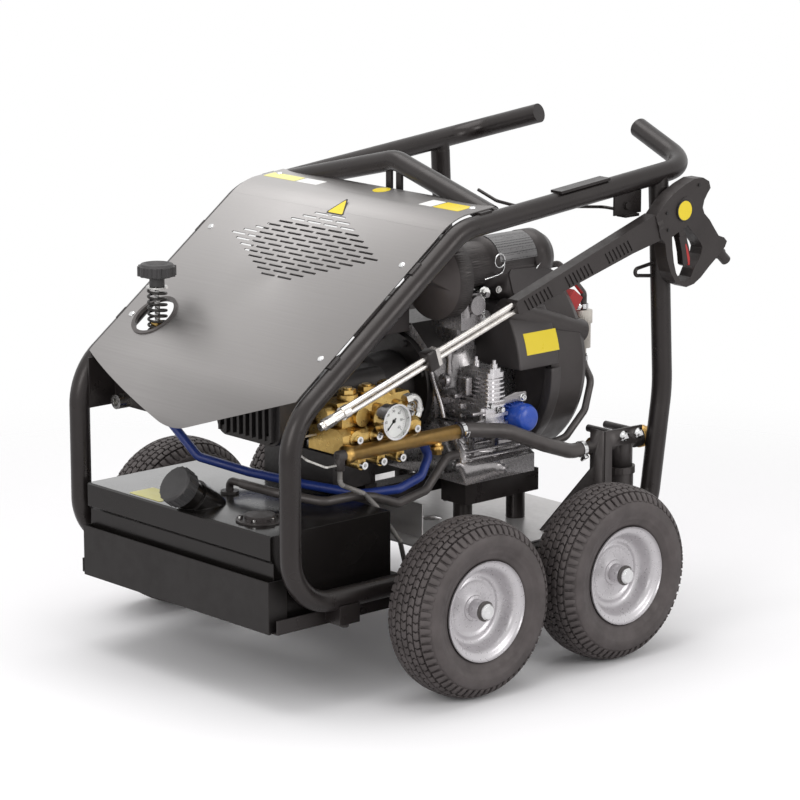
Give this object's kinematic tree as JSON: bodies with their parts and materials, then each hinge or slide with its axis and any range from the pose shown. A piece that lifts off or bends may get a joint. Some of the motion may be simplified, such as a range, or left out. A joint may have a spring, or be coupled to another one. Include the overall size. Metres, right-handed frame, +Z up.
{
  "type": "pressure washer",
  "caption": "Petrol pressure washer on four turf wheels in a bent-tube frame, with a sloping slotted steel front panel, fuel tank, brass pump, engine, and a gun with lance on its holder.",
  "frame": {"origin": "middle of the bounding box at floor level", "axes": "+Z up, -Y the front with the panel and the fuel tank, +X the side that carries the gun"},
  "size_m": [0.936, 1.0942, 0.9383],
  "materials": {
    "frame_black": "semi-gloss black",
    "panel_steel": "satin brushed",
    "tank_black": "gloss black",
    "tyre": "matt black rubber",
    "rim_grey": "satin grey",
    "zinc": "bright zinc",
    "brass": "cast brass, satin",
    "black_plastic": "matt black",
    "rubber": "matt black",
    "blue_rubber": "satin blue",
    "alu": "cast",
    "cast_black": "painted black",
    "white_face": "white with plain ticks",
    "glass": "clear",
    "blue_metal": "gloss blue",
    "base_grey": "satin light grey",
    "bottle_plastic": "milky",
    "spring_steel": "dark spring steel"
  },
  "bodies": {
    "chassis": {"side_frame_right": "frame_black", "side_frame_left": "frame_black", "lift_bar": "frame_black", "chassis_rails": "frame_black", "axle_saddles": "frame_black", "base_plate": "base_grey", "axles": "zinc", "axle_caps": "zinc", "front_panel": "panel_steel", "panel_screws": "zinc", "panel_grommet": "rubber", "fuel_tank": "tank_black", "tank_guard": "frame_black", "tank_fittings": "black_plastic", "pump_crankcase": "cast_black", "pump_head": "brass", "valve_caps": "brass", "pump_bolts": "zinc", "inlet_rail": "brass", "gauge_case": "zinc", "gauge_dial": "white_face", "gauge_glass": "glass", "regulator_body": "brass", "regulator_spring": "spring_steel", "outlet_bracket": "frame_black", "outlet_fitting": "zinc", "blue_hose": "blue_rubber", "suction_hose": "rubber", "bypass_hose": "rubber", "drain_hose": "rubber", "fuel_hose": "rubber", "engine_block": "alu", "engine_cylinders": "alu", "blower_housing": "black_plastic", "air_cleaner": "black_plastic", "carburettor": "alu", "oil_filter": "blue_metal", "muffler": "black_plastic", "coupling_housing": "cast_black", "engine_stand": "frame_black", "breather_bottle": "bottle_plastic", "water_filter": "black_plastic", "gun_brackets": "frame_black"},
    "wheel_front_right": {"tyre_front_right": "tyre", "rim_front_right": "rim_grey"},
    "wheel_front_left": {"tyre_front_left": "tyre", "rim_front_left": "rim_grey"},
    "wheel_rear_right": {"tyre_rear_right": "tyre", "rim_rear_right": "rim_grey"},
    "wheel_rear_left": {"tyre_rear_left": "tyre", "rim_rear_left": "rim_grey"},
    "cap": {"fuel_cap": "black_plastic"},
    "needle": {"gauge_needle": "black_plastic"},
    "stem": {"regulator_stem": "zinc"},
    "knob": {"regulator_knob": "black_plastic"},
    "bowl": {"filter_bowl": "black_plastic"},
    "gun": {"gun_body": "black_plastic", "lance": "zinc", "lance_shroud": "black_plastic"},
    "trigger": {"gun_trigger": "black_plastic"}
  },
  "joints": [
    {"name": "wheel_front_right_spin", "type": "hinge", "parent": "chassis", "child": "wheel_front_right", "pos_m": [0.411, -0.1925, 0.163], "axis": [1, 0, 0], "continuous": true},
    {"name": "wheel_front_left_spin", "type": "hinge", "parent": "chassis", "child": "wheel_front_left", "pos_m": [-0.411, -0.1925, 0.163], "axis": [1, 0, 0], "continuous": true},
    {"name": "wheel_rear_right_spin", "type": "hinge", "parent": "chassis", "child": "wheel_rear_right", "pos_m": [0.411, 0.1585, 0.163], "axis": [1, 0, 0], "continuous": true},
    {"name": "wheel_rear_left_spin", "type": "hinge", "parent": "chassis", "child": "wheel_rear_left", "pos_m": [-0.411, 0.1585, 0.163], "axis": [1, 0, 0], "continuous": true},
    {"name": "fuel_cap_turn", "type": "hinge", "parent": "chassis", "child": "cap", "pos_m": [0.006, -0.468, 0.319], "axis": [0, -0.788, 0.6157], "range_deg": [0, 270]},
    {"name": "gauge_needle_turn", "type": "hinge", "parent": "chassis", "child": "needle", "pos_m": [0.24, -0.21, 0.471], "axis": [-1, 0, 0], "range_deg": [0, 270]},
    {"name": "regulator_stem_slide", "type": "slide", "parent": "chassis", "child": "stem", "axis": [0, 0, -1], "range_m": [0, 0.012], "deforming": ["regulator_spring"]},
    {"name": "regulator_knob_turn", "type": "hinge", "parent": "stem", "child": "knob", "pos_m": [-0.19, -0.411, 0.594], "axis": [0, 0, -1], "range_deg": [0, 2160]},
    {"name": "filter_bowl_turn", "type": "hinge", "parent": "chassis", "child": "bowl", "pos_m": [0.256, 0.342, 0.332], "axis": [0, 0, -1], "range_deg": [0, 360]},
    {"name": "gun_lift", "type": "slide", "parent": "chassis", "child": "gun", "axis": [1, 0, 0], "range_m": [0, 0.15]},
    {"name": "gun_trigger_pull", "type": "hinge", "parent": "gun", "child": "trigger", "pos_m": [0.34, 0.40157, 0.75721], "axis": [1, 0, 0], "range_deg": [0, 8], "stiffness_Nm_per_rad": 0.5}
  ],
  "couplings": [
    {"joint": "regulator_stem_slide", "follows": "regulator_knob_turn", "m_per_rad": 0.00031831}
  ]
}
